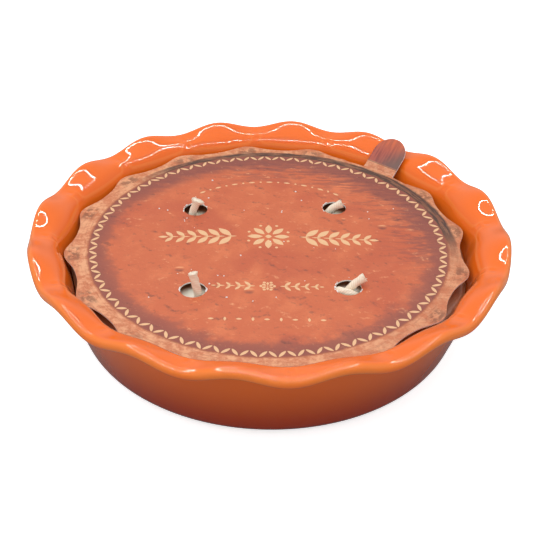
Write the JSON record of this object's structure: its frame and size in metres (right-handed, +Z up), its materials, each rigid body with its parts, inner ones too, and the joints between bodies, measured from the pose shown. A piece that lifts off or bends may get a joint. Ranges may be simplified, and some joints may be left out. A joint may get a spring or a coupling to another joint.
{
  "type": "candle in a pie dish",
  "caption": "Multi-wick container candle poured into a round glazed pie dish with a fluted rim, under a die-cut printed card cover with a fold-up tab.",
  "frame": {"origin": "middle of the dish's base, on the surface it stands on", "axes": "+Z up along the dish's axis; -Y towards the side that faces the viewer; the card's tab points between +X and +Y"},
  "size_m": [0.26, 0.26, 0.0645],
  "materials": {
    "glaze": "glossy orange ceramic glaze",
    "wax": "smooth cream candle wax",
    "card": "printed card with a light satin coating and white cut edges",
    "cotton": "waxed braided cotton"
  },
  "bodies": {
    "root": {"dish": "glaze", "wax": "wax", "card": "card", "wick_back_left": "cotton", "wick_back_right": "cotton", "wick_front_left": "cotton", "wick_front_right": "cotton"}
  },
  "joints": []
}
